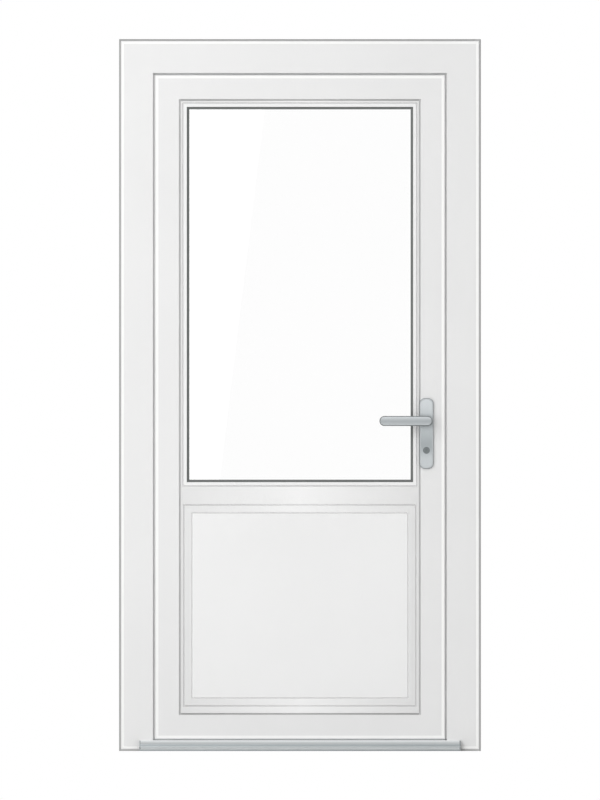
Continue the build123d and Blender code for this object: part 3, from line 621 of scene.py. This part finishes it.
class DOOR_OT_screws(Operator):
    """Pan-head screws of hinges, lock, strike plate and inside handle plate"""
    bl_idname = "pvcdoor.screws"
    bl_label = "Screws"

    def execute(self, context):
        # zinc-plated steel, without brushing
        s = context.scene.door_sizes
        zinc = metal("zinc_plated_screw", context.scene.door_colours.zinc[:], 0.3, (1, 1, 1))
        groups = {"leaf": [], "frame": []}
        for where in ("bottom", "middle", "top"):
            low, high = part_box(f"hinge_{where}_leaf_half")
            for z in (low[2] + HINGE_SCREW_Z, high[2] - HINGE_SCREW_Z):
                groups["leaf"].append((high[0] - HINGE_SCREW_X, LEAF_BACK + HINGE_LEAF_T, z, 1, "Y"))
            low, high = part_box(f"hinge_{where}_frame_half")
            for z in (low[2] + HINGE_SCREW_Z, high[2] - HINGE_SCREW_Z):
                groups["frame"].append((low[0] + HINGE_SCREW_X, low[1] + HINGE_LEAF_T, z, 1, "Y"))
        low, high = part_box("lock_faceplate")
        for z in (low[2] + LOCK_SCREW_Z, high[2] - LOCK_SCREW_Z):
            groups["leaf"].append((high[0], (low[1] + high[1]) / 2, z, 1, "X"))
        low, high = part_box("strike_plate")
        for z in (low[2] + LOCK_SCREW_Z, high[2] - LOCK_SCREW_Z):
            groups["frame"].append((low[0], (low[1] + high[1]) / 2, z, -1, "X"))
        low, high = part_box("handle_plate_inside")
        for z in (low[2] + PLATE_SCREW_Z, high[2] - PLATE_SCREW_Z):
            groups["leaf"].append(((low[0] + high[0]) / 2, high[1], z, 1, "Y"))
        for body, places in groups.items():
            obj = screw_heads(f"screws_{body}", places, s)
            obj.data.materials.append(zinc)
            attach(obj, body)
        return {"FINISHED"}


def screw_heads(name, places, s):
    """Pan heads with a cross recess, one at each place (x, y, z, way, axis), joined.

    With p = r / R and angle a, the height is h (sqrt(1 - p^4) - 0.6 max(cross, centre)), where cross is
    clip(1.6 |cos 2a| - 0.6 - 0.2 p) clip(1.6 - 2.6 p), centre is clip(1 - p / 0.3), and clip is to 0 to 1.
    """
    angle = np.linspace(0, 2 * math.pi, s.screw_steps, endpoint=False)
    rings = np.array([1e-4, 0.18, 0.36, 0.5, 0.62, 0.74, 0.86, 0.94, 0.985, 1.0])
    a, p = np.meshgrid(angle, rings, indexing="ij")
    rise = np.sqrt(np.clip(1 - p ** 4, 0, 1))
    cross = np.clip(np.abs(np.cos(2 * a)) * 1.6 - 0.6 - 0.2 * p, 0, 1) * np.clip(1.6 - 2.6 * p, 0, 1)
    centre = np.clip(1 - p / 0.3, 0, 1)
    height = s.screw_h * (rise - 0.6 * np.maximum(cross, centre))
    x, z = p * s.screw_r * np.cos(a), p * s.screw_r * np.sin(a)
    parts = []
    for i, (px, py, pz, way, axis) in enumerate(places):
        if axis == "Y":
            points = np.stack([px + x, py + way * height, pz + z], axis=-1)
        else:
            points = np.stack([px + way * height, py + x, pz + z], axis=-1)
        parts.append(surface(f"{name}_{i}", points, wrap_u=True))
    with bpy.context.temp_override(active_object=parts[0], selected_editable_objects=parts,
                                   selected_objects=parts):
        bpy.ops.object.join()
    parts[0].name = name
    for poly in parts[0].data.polygons:
        poly.use_smooth = True
    return parts[0]


def sight(tree):
    """Light path outputs, and 1 on rays that come from the camera, straight or through glass."""
    path = add(tree, "ShaderNodeLightPath").outputs
    return path, calc(tree, "MAXIMUM", path["Is Camera Ray"], path["Is Transmission Ray"])


def surround(scene, ambient):
    """White surround as seen, dimmer near the horizon as reflected, and even room light as lighting."""
    world = bpy.data.worlds.new("studio")
    world.use_nodes = True
    tree = world.node_tree
    tree.nodes.clear()
    path, seen = sight(tree)
    way = add(tree, "ShaderNodeSeparateXYZ", {0: add(tree, "ShaderNodeTexCoord").outputs["Generated"]})
    shine = remap(tree, calc(tree, "ABSOLUTE", way.outputs[2]), (0.0, SKY_RISE), SKY)
    lit = blend(tree, path["Is Glossy Ray"], ambient, shine, "FLOAT")
    back = add(tree, "ShaderNodeBackground", {"Color": (1, 1, 1),
                                              "Strength": blend(tree, seen, lit, 1.0, "FLOAT")})
    add(tree, "ShaderNodeOutputWorld", {"Surface": back.outputs[0]})
    scene.world = world


def light(scene, stage):
    """Softboxes before and behind the door and a low fill, all aimed at its middle and unseen."""
    for name, place, (wide, tall), setting in LAMPS:
        lamp = bpy.data.lights.new(name, "AREA")
        lamp.shape, lamp.size, lamp.size_y = "RECTANGLE", wide, tall
        lamp.energy = getattr(stage, setting)
        obj = bpy.data.objects.new(name, lamp)
        scene.collection.objects.link(obj)
        obj.location = place
        aim = np.array(LAMP_AIM) - np.array(place)
        obj.rotation_euler = (math.atan2(math.hypot(aim[0], aim[1]), -aim[2]), 0,
                              math.atan2(aim[1], aim[0]) - math.pi / 2)
        obj.visible_camera = obj.visible_transmission = False


def studio_floor(scene):
    """Matt white floor that fades into the white surround away from the door."""
    ends = [-FLOOR_HALF, FLOOR_HALF]
    grid = np.stack(np.meshgrid(ends, ends, indexing="ij"), axis=-1)
    floor = surface("floor", np.dstack([grid, np.full((2, 2), FLOOR_Z)]))
    # painted board: matt, barely mottled
    made, tree, place, shader, axes = start("matt_white_floor")
    path, seen = sight(tree)
    away = add(tree, "ShaderNodeVectorMath", {0: place}, operation="LENGTH").outputs["Value"]
    far = remap(tree, away, FLOOR_GLOW, interpolation_type="SMOOTHSTEP")
    glow = calc(tree, "MULTIPLY", far, calc(tree, "MAXIMUM", seen, path["Is Glossy Ray"]))
    tree.links.new(glow, shader.inputs["Emission Strength"])
    shader.inputs["Emission Color"].default_value = (1, 1, 1, 1)
    mottle = remap(tree, noise(tree, place, 4.0), target=(0.99, 1.0))
    level = calc(tree, "MULTIPLY", mottle, remap(tree, glow, target=(FLOOR_LEVEL, 0.0)))
    tree.links.new(scaled(tree, scene.door_colours.floor[:], level), shader.inputs["Base Color"])
    shader.inputs["Roughness"].default_value = 0.9
    floor.data.materials.append(made)


def camera(scene, stage):
    """Straight-on view without perspective."""
    cam = bpy.data.cameras.new("camera")
    cam.type, cam.ortho_scale, cam.clip_end = "ORTHO", stage.view_height, CAMERA_REACH
    obj = bpy.data.objects.new("camera", cam)
    scene.collection.objects.link(obj)
    obj.location = (0, CAMERA_Y, stage.aim_z)
    obj.rotation_euler = (math.pi / 2, 0, 0)
    scene.camera = obj


class DOOR_OT_stage(Operator):
    """Stage: pale floor, white surround, soft light before and behind the door, straight-on camera"""
    bl_idname = "pvcdoor.stage"
    bl_label = "Stage"

    def execute(self, context):
        scene, stage = context.scene, context.scene.door_stage
        scene.view_settings.view_transform = "Standard"
        surround(scene, stage.ambient)
        light(scene, stage)
        studio_floor(scene)
        camera(scene, stage)
        return {"FINISHED"}


STEPS = (DOOR_OT_frame, DOOR_OT_leaf, DOOR_OT_panel, DOOR_OT_glazing, DOOR_OT_threshold, DOOR_OT_handle,
         DOOR_OT_hinges, DOOR_OT_screws, DOOR_OT_stage)


class DOOR_PT_panel(Panel):
    """Lists the door's pieces and their settings"""
    bl_idname = "DOOR_PT_panel"
    bl_label = "PVC door"
    bl_space_type = "VIEW_3D"
    bl_region_type = "UI"
    bl_category = "PVC door"

    def draw(self, context):
        for step in STEPS:
            self.layout.operator(step.bl_idname)
        for group in (context.scene.door_colours, context.scene.door_sizes, context.scene.door_stage):
            for key in group.__annotations__:
                self.layout.prop(group, key)


GROUPS = {"door_colours": DoorColours, "door_sizes": DoorSizes, "door_stage": DoorStage}


def register():
    for item in (*GROUPS.values(), *STEPS, DOOR_PT_panel):
        bpy.utils.register_class(item)
    for key, item in GROUPS.items():
        setattr(bpy.types.Scene, key, PointerProperty(type=item))


def unregister():
    for key in GROUPS:
        delattr(bpy.types.Scene, key)
    for item in (DOOR_PT_panel, *reversed(STEPS), *GROUPS.values()):
        bpy.utils.unregister_class(item)


def main():
    register()
    for step in STEPS:
        group, name = step.bl_idname.split(".")
        if getattr(getattr(bpy.ops, group), name)() != {"FINISHED"}:
            raise RuntimeError(f"{step.bl_label} did not finish")


if __name__ == "__main__":
    main()
